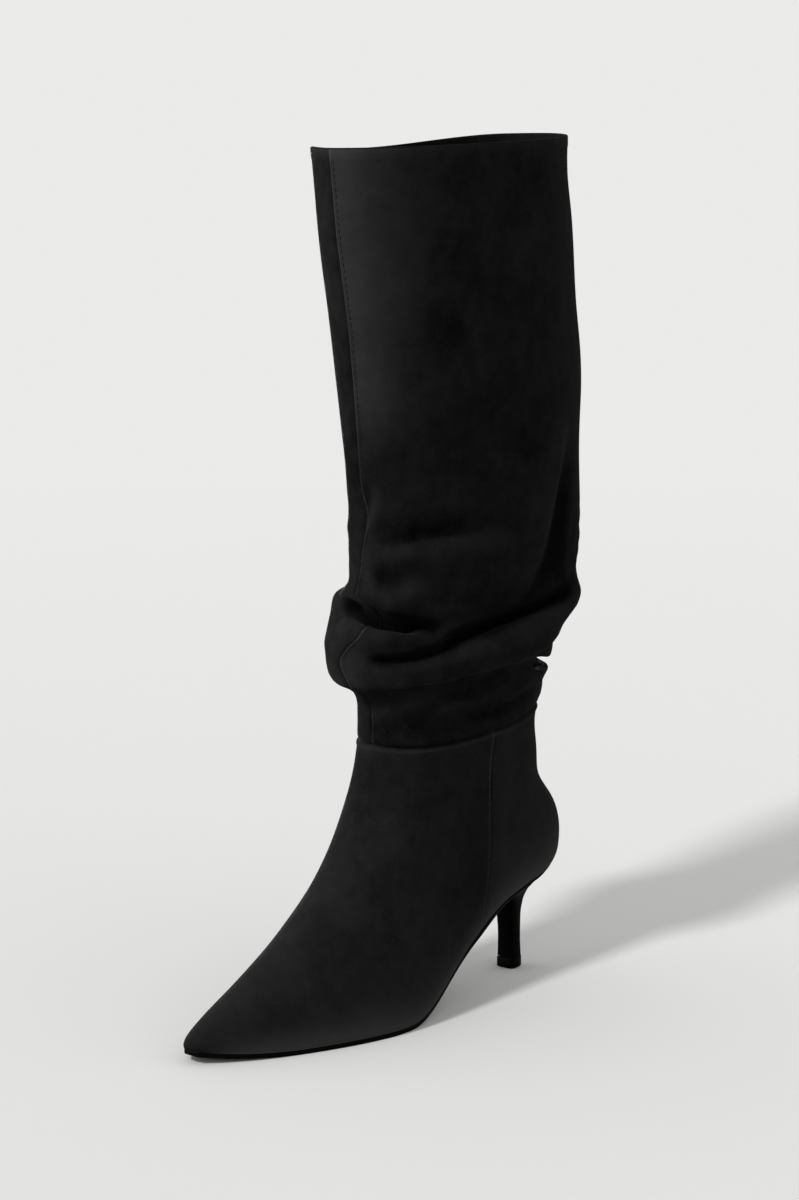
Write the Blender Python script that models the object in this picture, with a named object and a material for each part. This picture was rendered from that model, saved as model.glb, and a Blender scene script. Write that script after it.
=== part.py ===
"""A slouched knee-high suede boot for the left foot: pointed toe, kitten heel, standing empty on its sole.

Sizes are in millimetres. x runs from the back of the heel seat to the toe, y to the wearer's left, which is
the outer side of this boot, and z up from the floor. Angles go round the leg from the front seam (0 degrees)
over the outer side (90) and the back (180) to the inner side (270).
"""

import math
from typing import NamedTuple

import bpy
import numpy as np

MM = 0.001
FIT_GAP = 0.3
SOLE_GAP = 0.4

# Driving sizes
FOOT_LENGTH = 258.5
TOE_SHIFT = -6.0
HEEL_HEIGHT = 57.5
SOLE_THICKNESS = 3.0
SOLE_INSET = 0.8
SOLE_EDGE_ROUND = 0.8
INSOLE_THICKNESS = 1.5
INSOLE_INSET = 3.4
INSOLE_TOE_GAP = 14.0
UPPER_WALL = 2.0
SHAFT_WALL = 1.6
SEAM_HEIGHT = 139.5
SEAM_RISE = 4.5
COLLAR_HEIGHT = 430.0
COLLAR_RISE = 3.0

# The sole's outline: half widths at its widest and narrowest places, and where along the foot they are
HEEL_SEAT_AT = 30.0
HEEL_SEAT_HALF = 26.0
TOE_POINT = 1.55
TOE_NOSE = 0.74

# The line that the upper's lower edge follows, seen from the side
TREAD_BACK = 144.0
TREAD_FRONT = 206.0
TOE_SPRING = 4.7
HEEL_BREAST_AT = 54.0
HEEL_SEAT_DROP = 8.0

# Side seams between vamp and heel quarter
SIDE_SEAM_ANGLE = 79.0
SEAM_RIDGE = 0.7
SEAM_RIDGE_ANGLE = 1.6
EDGE_FAN = 2.41

# Counts of facets
UPPER_COLUMNS = 56
UPPER_ROWS = 13
SHAFT_COLUMNS = 48
SLOUCH_ROWS = 25
LEG_ROWS = 7
SLOUCH_TOP = 255.0
SLOUCH_SLANT = 10.0
SLOUCH_SLANT_ANGLE = 70.0
SOLE_STATIONS = 44


class OutlineSide(NamedTuple):
    """One side of the sole's outline: half widths, and where along the foot they are."""

    waist_at: float
    waist_half: float
    ball_at: float
    ball_half: float


OUTER_SIDE = OutlineSide(waist_at=86.0, waist_half=28.0, ball_at=156.0, ball_half=40.5)
INNER_SIDE = OutlineSide(waist_at=102.0, waist_half=20.0, ball_at=174.0, ball_half=35.0)


class Strake(NamedTuple):
    """How the upper rises from the sole's edge to the ankle seam, at one angle round the leg."""

    angle: float
    edge_lean: float
    edge_reach: float
    seam_lean: float
    seam_reach: float


STRAKES = (
    Strake(angle=0, edge_lean=22, edge_reach=14, seam_lean=6, seam_reach=88),
    Strake(angle=30, edge_lean=20, edge_reach=16, seam_lean=8, seam_reach=80),
    Strake(angle=60, edge_lean=14, edge_reach=28, seam_lean=6, seam_reach=55),
    Strake(angle=90, edge_lean=12, edge_reach=34, seam_lean=0, seam_reach=34),
    Strake(angle=135, edge_lean=18, edge_reach=34, seam_lean=-14, seam_reach=26),
    Strake(angle=180, edge_lean=26, edge_reach=30, seam_lean=-26, seam_reach=28),
    Strake(angle=225, edge_lean=16, edge_reach=34, seam_lean=-14, seam_reach=26),
    Strake(angle=270, edge_lean=6, edge_reach=32, seam_lean=0, seam_reach=34),
    Strake(angle=300, edge_lean=2, edge_reach=24, seam_lean=6, seam_reach=55),
    Strake(angle=330, edge_lean=3, edge_reach=13, seam_lean=5, seam_reach=82),
    Strake(angle=360, edge_lean=22, edge_reach=14, seam_lean=6, seam_reach=88),
)


class ShaftSection(NamedTuple):
    """One level section of the leg, without its folds: where its front and back seams are along the foot."""

    height: float
    front: float
    back: float
    half_width: float
    crease: float


SHAFT = (
    ShaftSection(height=SEAM_HEIGHT, front=131.5, back=19, half_width=35, crease=1.02),
    ShaftSection(height=152, front=131.5, back=18, half_width=35.5, crease=1.02),
    ShaftSection(height=166, front=132, back=13, half_width=37, crease=1.02),
    ShaftSection(height=182, front=134, back=2, half_width=40, crease=1.04),
    ShaftSection(height=200, front=137, back=-12, half_width=41.5, crease=1.06),
    ShaftSection(height=220, front=138, back=-17, half_width=42, crease=1.1),
    ShaftSection(height=250, front=138.5, back=-15, half_width=43.5, crease=1.12),
    ShaftSection(height=300, front=144, back=-13, half_width=45, crease=1.12),
    ShaftSection(height=350, front=151, back=-5.5, half_width=47.5, crease=1.12),
    ShaftSection(height=400, front=159.5, back=-0.5, half_width=48, crease=1.12),
    ShaftSection(height=COLLAR_HEIGHT, front=163.3, back=0.5, half_width=48.4, crease=1.12),
)


class Fold(NamedTuple):
    """A soft ridge (out above 0) or trough (out below 0) that the slack leg makes over the ankle.

    Its crest passes the given height at its middle angle, climbs on one side and sinks on the other, and
    dies away at span degrees from the middle. Fullness 2 is a soft hump, 4 a full roll.
    """

    name: str
    angle: float
    span: float
    height: float
    climb: float
    out: float
    sag: float
    above: float
    below: float
    fullness: float


FOLDS = (
    Fold("main roll", angle=95, span=150, height=186, climb=9, out=7, sag=4, above=10, below=12, fullness=3),
    Fold("main trough", angle=68, span=95, height=195, climb=12, out=-8, sag=0, above=6, below=5, fullness=2),
    Fold("front roll", angle=-22, span=75, height=184, climb=2, out=13, sag=3, above=17, below=18, fullness=4),
    Fold("front pocket", angle=10, span=46, height=204, climb=-4, out=-9, sag=0, above=6, below=5, fullness=2),
    Fold("upper trough", angle=45, span=45, height=243, climb=6, out=-3, sag=0, above=9, below=4, fullness=2),
    Fold("upper ridge", angle=50, span=55, height=234, climb=2, out=2, sag=0, above=4, below=10, fullness=2),
    Fold("back notch", angle=140, span=60, height=168, climb=0, out=-3, sag=0, above=4, below=3, fullness=2),
    Fold("back roll", angle=140, span=60, height=160, climb=0, out=3, sag=1, above=4, below=5, fullness=2),
    Fold("inner roll", angle=262, span=80, height=202, climb=-8, out=9, sag=4, above=9, below=9, fullness=3),
    Fold("inner trough", angle=255, span=80, height=187, climb=-8, out=-4, sag=0, above=6, below=5, fullness=2),
    Fold("inner low roll", angle=245, span=70, height=173, climb=6, out=7, sag=3, above=8, below=8, fullness=3),
)


class HeelSection(NamedTuple):
    """One section of the heel between its tip (rise 0) and the seat (rise 1)."""

    rise: float
    front: float
    back: float
    half_width: float


HEEL_TIP_HEIGHT = 5.5
HEEL = (
    HeelSection(rise=0.0, front=28.0, back=16.0, half_width=5.4),
    HeelSection(rise=0.22, front=28.0, back=16.6, half_width=5.2),
    HeelSection(rise=0.45, front=28.5, back=16.6, half_width=5.6),
    HeelSection(rise=0.62, front=30.5, back=15.0, half_width=7.6),
    HeelSection(rise=0.78, front=35.5, back=10.5, half_width=12.5),
    HeelSection(rise=0.90, front=42.0, back=5.5, half_width=19.0),
    HeelSection(rise=1.0, front=47.0, back=1.8, half_width=24.0),
)
HEEL_TIP = HeelSection(rise=0.0, front=28.3, back=15.6, half_width=5.6)


# Curves shared by the pieces
def ease(t):
    """A smooth step from 0 to 1, level at both ends."""
    t = np.clip(t, 0.0, 1.0)
    return t * t * (3.0 - 2.0 * t)


def through(places, values, at):
    """A smooth curve through the values at ascending places, without overshoot."""
    places, values = np.asarray(places, float), np.asarray(values, float)
    gaps = np.diff(places)
    slopes = np.diff(values) / gaps
    tangents = np.zeros(len(places))
    for i in range(1, len(places) - 1):
        if slopes[i - 1] * slopes[i] > 0:
            tangents[i] = 1.0 / (0.5 / slopes[i - 1] + 0.5 / slopes[i])
    tangents[0], tangents[-1] = slopes[0], slopes[-1]
    at = np.clip(np.asarray(at, float), places[0], places[-1])
    i = np.clip(np.searchsorted(places, at, side="right") - 1, 0, len(gaps) - 1)
    t = (at - places[i]) / gaps[i]
    h = gaps[i]
    return (
        values[i] * (1 + 2 * t) * (1 - t) ** 2
        + tangents[i] * h * t * (1 - t) ** 2
        + values[i + 1] * t * t * (3 - 2 * t)
        + tangents[i + 1] * h * t * t * (t - 1)
    )


def column(rows, name):
    return [getattr(row, name) for row in rows]


def half_width(side, x):
    """Half width of the sole's outline at x, on one side."""
    x = np.clip(x, 0.0, FOOT_LENGTH)
    heel = HEEL_SEAT_HALF * np.sqrt(np.clip(1.0 - (1.0 - x / HEEL_SEAT_AT) ** 2, 0.0, 1.0))
    to_waist = ease((x - HEEL_SEAT_AT) / (side.waist_at - HEEL_SEAT_AT))
    to_ball = ease((x - side.waist_at) / (side.ball_at - side.waist_at))
    middle = HEEL_SEAT_HALF + (side.waist_half - HEEL_SEAT_HALF) * to_waist
    middle = middle + (side.ball_half - side.waist_half) * to_ball
    along_toe = np.clip((x - side.ball_at) / (FOOT_LENGTH - side.ball_at), 0.0, 1.0)
    toe = side.ball_half * (1.0 - along_toe**TOE_POINT) ** TOE_NOSE
    return np.where(x < HEEL_SEAT_AT, heel, np.where(x < side.ball_at, middle, toe))


def inset_half(side, x, inset):
    """Half width at x of the outline moved inwards, measured square to the outline's own edge."""
    slope = half_width(side, x + 0.5) - half_width(side, x - 0.5)
    return np.maximum(half_width(side, x) - inset * np.sqrt(1.0 + np.minimum(slope**2, 4.0)), 0.35)


def axis_shift(x):
    """Sideways bend of the foot's middle line, towards the big toe."""
    return TOE_SHIFT * ease((x - TREAD_BACK * 0.6) / (FOOT_LENGTH - TREAD_BACK * 0.6))


def edge_height(x):
    """Height of the upper's lower edge: heel seat, arch, flat tread and toe spring."""
    x = np.asarray(x, float)
    breast_height = HEEL_HEIGHT - HEEL_SEAT_DROP
    seat = HEEL_HEIGHT - HEEL_SEAT_DROP * x / HEEL_BREAST_AT
    run = TREAD_BACK - HEEL_BREAST_AT
    t = np.clip((x - HEEL_BREAST_AT) / run, 0.0, 1.0)
    seat_slope = -HEEL_SEAT_DROP / HEEL_BREAST_AT
    arch = breast_height * (1 + 2 * t) * (1 - t) ** 2 + seat_slope * run * t * (1 - t) ** 2
    arch = arch + SOLE_THICKNESS * t * t * (3 - 2 * t)
    spring = np.clip((x - TREAD_FRONT) / (FOOT_LENGTH - TREAD_FRONT), 0.0, 1.0)
    forefoot = SOLE_THICKNESS + TOE_SPRING * spring**2
    return np.where(x < HEEL_BREAST_AT, seat, np.where(x < TREAD_BACK, arch, forefoot))


def edge_point(angle):
    """The point of the sole's edge that belongs to an angle round the leg, in degrees."""
    turn = math.radians(angle)
    x = FOOT_LENGTH * ((1.0 + math.cos(turn)) / 2.0) ** EDGE_FAN
    side = OUTER_SIDE if math.sin(turn) >= 0 else INNER_SIDE
    y = math.copysign(float(half_width(side, x)), math.sin(turn)) + float(axis_shift(x))
    return np.array([x, y, float(edge_height(x))])


def section_point(section, angle):
    """A point of a level section of the leg; the crease sharpens it at the front and back seams."""
    turn = math.radians(angle)
    across = math.copysign(abs(math.sin(turn)) ** section.crease, math.sin(turn))
    middle, half_length = (section.front + section.back) / 2.0, (section.front - section.back) / 2.0
    return np.array([middle + half_length * math.cos(turn), section.half_width * across, section.height])


def seam_point(angle):
    """The ankle seam, where the leg is sewn to the foot; it rises towards the back."""
    point = section_point(SHAFT[0], angle)
    point[2] -= SEAM_RISE * math.cos(math.radians(angle))
    return point


def strake_at(angle):
    """The strake table read at any angle."""
    places = column(STRAKES, "angle")
    return Strake(angle, *(float(through(places, column(STRAKES, n), angle % 360)) for n in Strake._fields[1:]))


def upper_point(angle, rise):
    """A point of the foot's outside: rise goes from 0 at the sole's edge to 1 at the ankle seam."""
    strake = strake_at(angle)
    edge, seam = edge_point(angle), seam_point(angle)
    step = 0.5
    along = edge_point(angle + step) - edge_point(angle - step)
    outward = np.array([along[1], -along[0], 0.0])
    outward /= np.linalg.norm(outward)
    radial = np.array([math.cos(math.radians(angle)), math.sin(math.radians(angle)), 0.0])
    lean, reach = math.radians(strake.edge_lean), strake.edge_reach
    low = edge + reach * (math.sin(lean) * outward + math.cos(lean) * np.array([0, 0, 1.0]))
    lean, reach = math.radians(strake.seam_lean), strake.seam_reach
    high = seam + reach * (math.sin(lean) * radial - math.cos(lean) * np.array([0, 0, 1.0]))
    t, s = rise, 1.0 - rise
    return s**3 * edge + 3 * s * s * t * low + 3 * s * t * t * high + t**3 * seam


def fold_shift(angle, height):
    """How far the folds push the leg outwards and downwards at an angle and a height."""
    out = down = 0.0
    for fold in FOLDS:
        turn = (angle - fold.angle + 180.0) % 360.0 - 180.0
        fade = math.cos(min(abs(turn) / fold.span, 1.0) * math.pi / 2) ** 2
        rise = height - fold.height - fold.climb * math.sin(math.radians(turn))
        spread = fold.above if rise > 0 else fold.below
        strength = fade * math.exp(-(abs(rise / spread) ** fold.fullness))
        out += fold.out * strength
        down += fold.sag * strength
    return out, down


def shaft_point(angle, height):
    """A point of the leg's outside at an angle and a height along the slack leather."""
    places = column(SHAFT, "height")
    section = ShaftSection(
        height, *(float(through(places, column(SHAFT, n), height)) for n in ShaftSection._fields[1:])
    )
    point = section_point(section, angle)
    step = 1.0
    along = section_point(section, angle + step) - section_point(section, angle - step)
    outward = np.array([along[1], -along[0], 0.0])
    outward /= np.linalg.norm(outward)
    out, down = fold_shift(angle, height)
    settle = float(ease((height - SEAM_HEIGHT) / 12.0))
    along_leg = float(ease((height - SEAM_HEIGHT) / (COLLAR_HEIGHT - SEAM_HEIGHT)))
    rise = SEAM_RISE + (COLLAR_RISE - SEAM_RISE) * along_leg
    down = settle * down + rise * math.cos(math.radians(angle))
    return point + settle * out * outward - np.array([0.0, 0.0, down])


# Meshes
def material(name, colour, roughness):
    made = bpy.data.materials.new(name)
    made.use_nodes = True
    shader = made.node_tree.nodes["Principled BSDF"]
    shader.inputs["Base Color"].default_value = (*colour, 1.0)
    shader.inputs["Roughness"].default_value = roughness
    shader.inputs["Metallic"].default_value = 0.0
    made.diffuse_color = (*colour, 1.0)
    return made


def add_piece(name, points, faces, finish):
    """A named object from points in millimetres and faces, shaded smooth apart from its edges."""
    mesh = bpy.data.meshes.new(name)
    mesh.from_pydata([tuple(float(v) * MM for v in p) for p in points], [], faces)
    mesh.materials.append(finish)
    mesh.shade_smooth()
    mesh.set_sharp_from_angle(angle=math.radians(50))
    piece = bpy.data.objects.new(name, mesh)
    bpy.context.scene.collection.objects.link(piece)
    return piece


def normals_of(grid):
    """Outward unit normals of a grid of points, rows going up and columns going round."""
    along = np.roll(grid, -1, axis=1) - np.roll(grid, 1, axis=1)
    up = np.gradient(grid, axis=0)
    normals = np.cross(along, up)
    normals[0, :, 2] = 0.0
    normals[-1, :, 2] = 0.0
    return normals / np.linalg.norm(normals, axis=2, keepdims=True)


def add_wall(name, outside, inside, finish):
    """A hollow tube, open at both ends, from the grids of its outside and inside."""
    rows, columns = outside.shape[:2]
    points = np.concatenate([outside.reshape(-1, 3), inside.reshape(-1, 3)])
    inner = rows * columns
    faces = []
    for c in range(columns):
        n = (c + 1) % columns
        for r in range(rows - 1):
            a, b, e, d = r * columns + c, r * columns + n, (r + 1) * columns + n, (r + 1) * columns + c
            faces.append((a, b, e, d))
            faces.append((inner + d, inner + e, inner + b, inner + a))
        top = (rows - 1) * columns
        faces.append((n, c, inner + c, inner + n))
        faces.append((top + c, top + n, inner + top + n, inner + top + c))
    return add_piece(name, points, faces, finish)


def add_loft(name, sections, finish):
    """A solid through rings of points, closed with a flat face at each end."""
    count = len(sections[0])
    points = [p for section in sections for p in section]
    faces = []
    for i in range(len(sections) - 1):
        for j in range(count):
            k = (j + 1) % count
            faces.append((i * count + j, i * count + k, (i + 1) * count + k, (i + 1) * count + j))
    last = (len(sections) - 1) * count
    faces.append(tuple(range(count - 1, -1, -1)))
    faces.append(tuple(last + j for j in range(count)))
    return add_piece(name, points, faces, finish)


def angles_with_seams(count, seams):
    """Evenly spaced angles, with three close ones at each seam to carry its ridge."""
    even = [360.0 * i / count for i in range(count)]
    close = SEAM_RIDGE_ANGLE
    clear = [a for a in even if all(abs((a - s + 180) % 360 - 180) > 2 * close for s in seams)]
    return sorted(clear + [(s + k * close) % 360.0 for s in seams for k in (-1, 0, 1)])


def with_seam_ridges(grid, angles, seams):
    """The grid with a low ridge along each seam's column."""
    normals = normals_of(grid)
    height = np.array([SEAM_RIDGE if any(abs(a - s % 360) < 0.01 for s in seams) else 0.0 for a in angles])
    return grid + normals * height[None, :, None]


# Pieces
def build_upper(finish):
    seams = (SIDE_SEAM_ANGLE, 360.0 - SIDE_SEAM_ANGLE)
    angles = angles_with_seams(UPPER_COLUMNS, seams)
    rises = [i / UPPER_ROWS for i in range(UPPER_ROWS + 1)]
    skin = np.array([[upper_point(a, t) for a in angles] for t in rises])
    skin[-1, :, 2] -= FIT_GAP / 2
    inside = skin - UPPER_WALL * normals_of(skin)
    return add_wall("upper", with_seam_ridges(skin, angles, seams), inside, finish)


def slanted(height, angle):
    """Heights of a row of facets, slanted like the main folds so that its edges run along them."""
    middle = (SEAM_HEIGHT + SLOUCH_TOP) / 2.0
    share = 1.0 - ease(abs(height - middle) / (SLOUCH_TOP - middle))
    return height + SLOUCH_SLANT * float(share) * math.sin(math.radians(angle - SLOUCH_SLANT_ANGLE))


def build_shaft(finish):
    seams = (0.0, 180.0)
    angles = angles_with_seams(SHAFT_COLUMNS, seams)
    heights = list(np.linspace(SEAM_HEIGHT, SLOUCH_TOP, SLOUCH_ROWS + 1))
    heights += list(np.linspace(SLOUCH_TOP, COLLAR_HEIGHT, LEG_ROWS + 1))[1:]
    skin = np.array([[shaft_point(a, slanted(h, a)) for a in angles] for h in heights])
    skin[0, :, 2] += FIT_GAP / 2
    inside = skin - SHAFT_WALL * normals_of(skin)
    return add_wall("shaft", with_seam_ridges(skin, angles, seams), inside, finish)


def sole_sections(start, end, inset, low, high, edge_round):
    """Sections across the foot between two curves seen from the side, inset from the outline."""
    shared = FOOT_LENGTH * (1.0 - np.cos(np.linspace(0.0, math.pi, SOLE_STATIONS + 1))) / 2.0
    stations = [start] + [x for x in shared if start + 0.3 < x < end - 0.3] + [end]
    sections = []
    for x in stations:
        outer = float(inset_half(OUTER_SIDE, x, inset) + axis_shift(x))
        inner = float(-inset_half(INNER_SIDE, x, inset) + axis_shift(x))
        middle = (outer + inner) / 2.0
        cut = min(edge_round, 0.4 * (outer - middle))
        bottom, top = low(x), high(x)
        sections.append(
            [
                (x, outer, top),
                (x, inner, top),
                (x, inner, bottom + edge_round),
                (x, inner + cut, bottom),
                (x, outer - cut, bottom),
                (x, outer, bottom + edge_round),
            ]
        )
    return sections


def sole_bottom(x):
    return float(edge_height(x)) - SOLE_THICKNESS


def build_outsole(finish):
    top = lambda x: float(edge_height(x)) - SOLE_GAP
    rings = sole_sections(SOLE_INSET, FOOT_LENGTH - SOLE_INSET, SOLE_INSET, sole_bottom, top, SOLE_EDGE_ROUND)
    return add_loft("outsole", rings, finish)


def build_insole(finish):
    bottom = lambda x: float(edge_height(x))
    top = lambda x: float(edge_height(x)) + INSOLE_THICKNESS
    rings = sole_sections(INSOLE_INSET, FOOT_LENGTH - INSOLE_TOE_GAP, INSOLE_INSET, bottom, top, FIT_GAP)
    return add_loft("insole", rings, finish)


def heel_ring(section, height_at, sides=18):
    """A D-shaped ring: a flat front face and a round back."""
    ring = []
    middle = section.front - 0.18 * (section.front - section.back)
    for i in range(sides + 1):
        turn = math.pi * i / sides
        x = middle - (middle - section.back) * math.sin(turn)
        y = section.half_width * math.cos(turn)
        ring.append((x, y))
    ring.append((section.front, -0.86 * section.half_width))
    ring.append((section.front, 0.86 * section.half_width))
    return [(x, y, height_at(x)) for x, y in ring]


def build_heel(finish):
    low = HEEL_TIP_HEIGHT + FIT_GAP

    def ring(section):
        return heel_ring(section, lambda x: low + section.rise * (sole_bottom(x) - FIT_GAP - low))

    return add_loft("heel", [ring(section) for section in HEEL], finish)


def build_heel_tip(finish):
    rings = [heel_ring(HEEL_TIP, lambda x, z=z: z) for z in (0.0, HEEL_TIP_HEIGHT)]
    return add_loft("heel_tip", rings, finish)


def build():
    for old in list(bpy.data.objects):
        bpy.data.objects.remove(old)
    suede = material("black_suede", (0.012, 0.012, 0.012), 0.95)
    lacquer = material("black_heel_cover", (0.008, 0.008, 0.008), 0.35)
    sole = material("black_sole", (0.010, 0.010, 0.010), 0.5)
    lining = material("black_lining", (0.015, 0.014, 0.013), 0.8)
    pieces = [
        build_upper(suede),
        build_shaft(suede),
        build_outsole(sole),
        build_insole(lining),
        build_heel(lacquer),
        build_heel_tip(sole),
    ]
    corners = np.array([v.co for piece in pieces for v in piece.data.vertices])
    middle = (corners.min(axis=0) + corners.max(axis=0)) / 2.0
    boot = bpy.data.objects.new("boot", None)
    bpy.context.scene.collection.objects.link(boot)
    boot.location = (-middle[0], -middle[1], 0.0)
    for piece in pieces:
        piece.parent = boot


build()
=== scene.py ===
"""Looks of a slouched knee-high suede boot for the left foot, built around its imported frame.

Sizes are in millimetres in the boot's own frame, as in the part's source: x runs from the back of the heel
seat to the toe, y to the wearer's left, which is the outer side of this boot, and z up from the floor. Angles
go round the leg from the front seam (0 degrees) over the outer side (90) and the back (180) to the inner
side (270).
"""

import math
from typing import NamedTuple

import bpy
import numpy as np
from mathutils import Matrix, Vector


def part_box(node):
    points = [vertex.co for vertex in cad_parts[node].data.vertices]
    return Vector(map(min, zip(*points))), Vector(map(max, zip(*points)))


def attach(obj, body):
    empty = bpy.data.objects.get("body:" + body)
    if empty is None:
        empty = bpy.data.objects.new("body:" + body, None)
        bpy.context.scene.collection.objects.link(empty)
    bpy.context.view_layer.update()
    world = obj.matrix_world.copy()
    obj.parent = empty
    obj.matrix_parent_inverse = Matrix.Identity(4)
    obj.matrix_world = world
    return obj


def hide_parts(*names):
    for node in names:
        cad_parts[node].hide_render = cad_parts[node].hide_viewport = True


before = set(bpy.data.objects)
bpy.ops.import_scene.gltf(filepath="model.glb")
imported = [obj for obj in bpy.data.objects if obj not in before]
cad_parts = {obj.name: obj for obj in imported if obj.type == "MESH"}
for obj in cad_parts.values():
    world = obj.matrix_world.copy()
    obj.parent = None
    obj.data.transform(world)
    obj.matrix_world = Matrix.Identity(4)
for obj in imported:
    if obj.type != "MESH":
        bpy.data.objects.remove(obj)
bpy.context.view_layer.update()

MM = 0.001
UP = np.array([0.0, 0.0, 1.0])
BODY = "root"


def table(kind, *rows):
    """A table whose columns are the fields of its kind of row."""
    return tuple(kind(*row) for row in rows)


# Driving sizes, as in the part's source
FOOT_LENGTH = 258.5
TOE_SHIFT = -6.0
SOLE_THICKNESS = 3.0
SOLE_INSET = 0.8
SOLE_GAP = 0.4
FIT_GAP = 0.3
INSOLE_THICKNESS = 1.5
INSOLE_INSET = 3.4
INSOLE_TOE_GAP = 14.0
UPPER_WALL = 2.0
SHAFT_WALL = 1.6
SEAM_HEIGHT = 139.5
SEAM_RISE = 4.5
COLLAR_HEIGHT = 430.0
COLLAR_RISE = 3.0
HEEL_SEAT_AT = 30.0
HEEL_SEAT_HALF = 26.0
TOE_POINT = 1.55
TOE_NOSE = 0.74
TREAD_BACK = 144.0
TREAD_FRONT = 206.0
TOE_SPRING = 4.7
HEEL_BREAST_AT = 54.0
SIDE_SEAM_ANGLE = 79.0
EDGE_FAN = 2.41

# The heel seat, steeper here than in the source, as the photograph shows it
HEEL_HEIGHT = 62.0
HEEL_SEAT_DROP = 14.5

# Fine sizes that only the looks have
SEAM_BEAD = 0.5
SEAM_HALF = 0.6
SEAM_STEP = 0.35
SEAM_PUCKER = 0.12
SEAM_FREE = 50.0
STITCH_PITCH = 3.2
STITCH_LENGTH = 2.3
STITCH_HALF_WIDTH = 0.24
STITCH_HEIGHT = 0.2
STITCH_BESIDE = 1.5
STITCH_FROM = 275.0
HEM_HEIGHT = 5.0
HEM_STEP = 0.25
HEM_TURN_IN = 9.0
# Painted highlight along the collar's turned-over top edge: its reach down, its least share at the back, and
# where and how wide its brightest part is
HEM_LIGHT_REACH = 3.5
HEM_LIGHT_LEAST = 0.3
HEM_LIGHT_AT = 5.0
HEM_LIGHT_SPAN = 70.0
COLLAR_INNER_DIP = 4.0
COLLAR_DIP_SPAN = 64.0
COLLAR_STIFF = 25.0
FOLDS_SETTLE = 12.0
SEAM_FLAT = 6.0
SEAM_LIFT_FADE = 24.0
SLACK_HEIGHTS = (148.0, 162.0, 215.0, 275.0)
LIP_HEIGHT = 0.55
LIP_AT = 1.7
GROOVE_DEPTH = 1.3
GROOVE_REACH = 1.1
FEATHER_REACH = 7.0
FEATHER_TUCK = 0.8
FEATHER_TUCK_AT_HEEL = 1.4
SKIRT_DROP = 2.1
SKIRT_CURL = 0.4
SKIRT_DROP_AT_TOE = 3.2
SKIRT_CURL_AT_TOE = 3.6
SKIRT_CURL_AT_HEEL = 2.2
SOLE_TUCK_AT_HEEL = 2.6
SOLE_TOE_GAP = 5.0
SOLE_EDGE_ROUND = 0.8
LEG_DEGREE = 0.75
CREST_FULL = 0.35

# Where the foot's edge and its painted light and shade change, from none to all: degrees from the toe, and
# millimetres
TOE_SKIRT = (5.0, 21.0)
HEEL_SKIRT = (70.0, 110.0)
HEEL_FEATHER = (60.0, 120.0)
# Painted bounce light from the floor along the sole's edge, reaching higher towards the sides and the heel
EDGE_LIGHT = (8.0, 28.0)
EDGE_LIGHT_WIDER = (20.0, 45.0)
EDGE_LIGHT_WIDEST = (70.0, 90.0)
EDGE_LIGHT_REACH = 5.0
EDGE_LIGHT_GAIN = 3.0
# Painted shade on the instep, fading down the foot
PAST_INSTEP = (52.0, 78.0)
INSTEP_LENGTH = 95.0
# A painted shadow line along the heel just above the sole
HEEL_LINE = (70.0, 85.0)
ABOVE_HEEL_LINE = (3.2, 4.2)
PAST_HEEL_SEAT = (40.0, 80.0)

# How much lighter or darker the suede is painted in places, mostly painted light and shade, where 1 is the
# whole way from its dark to its light colour
# Painted highlight on ridges and painted shade in creases and hollows
RIDGE_PAINTED_LIGHT = 0.065
HOLLOW_PAINTED_SHADE = -0.065
# Painted highlight on the seams' beads and painted shade on the steps behind them
SEAM_PAINTED_HIGHLIGHT = 0.38
TONE_SEAM_SHADE = 0.04
SHADE_THAT_HIDES_SEAM = 0.1
# Painted highlight along the collar's top edge
HEM_PAINTED_HIGHLIGHT = 0.25
# Painted shade in the ankle seam's groove and a painted highlight on the lip beside it
GROOVE_PAINTED_SHADE = -0.06
LIP_PAINTED_HIGHLIGHT = 0.07
# Painted bounce light over the whole foot, and much more along the sole's edge
FOOT_PAINTED_BOUNCE = 0.06
SOLE_EDGE_PAINTED_BOUNCE = 1.3
# Painted shade on the instep
INSTEP_PAINTED_SHADE = -0.05
TONE_QUARTER = 0.045
# Painted shadow line at the heel
HEEL_PAINTED_SHADOW_LINE = -1.6

# Small unevenness of the leather: seed, wavelength and height
LEG_RIPPLE = (7, 55.0, 0.45)
SLACK_RIPPLE = (5, 13.0, 0.35)
FOOT_RIPPLE = (3, 38.0, 0.18)

# Counts of facets; the leg's rows are given for its stretches up to each of the tops
LEG_COLUMNS = 228
LEG_TOPS = (158.0, 212.0, 262.0, 423.0)
LEG_ROWS = (20, 98, 54, 42)
LINING_LEG_ROWS = (9, 74, 25, 16)
HEM_ROWS = 14
FOOT_COLUMNS = 230
CROWDED_AT_HEEL = 14.0
FOOT_ROWS = 120
EDGE_ROWS = 14
SKIRT_ROWS = 6
LINING_FOOT_ROWS = 60
RIM_ROWS = 5
FOOT_RIM_ROWS = 2
SOLE_STATIONS = 170
HEEL_RINGS = 46
CREASE_STEPS = 24
SHARP_ANGLE = 40.0


class OutlineSide(NamedTuple):
    """One side of the sole's outline: half widths, and where along the foot they are."""

    waist_at: float
    waist_half: float
    ball_at: float
    ball_half: float


OUTER_SIDE = OutlineSide(waist_at=86.0, waist_half=28.0, ball_at=156.0, ball_half=40.5)
INNER_SIDE = OutlineSide(waist_at=102.0, waist_half=20.0, ball_at=174.0, ball_half=35.0)


class Strake(NamedTuple):
    """How the upper rises from the sole's edge to the ankle seam, at one angle round the leg."""

    angle: float
    edge_lean: float
    edge_reach: float
    seam_lean: float
    seam_reach: float


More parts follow.
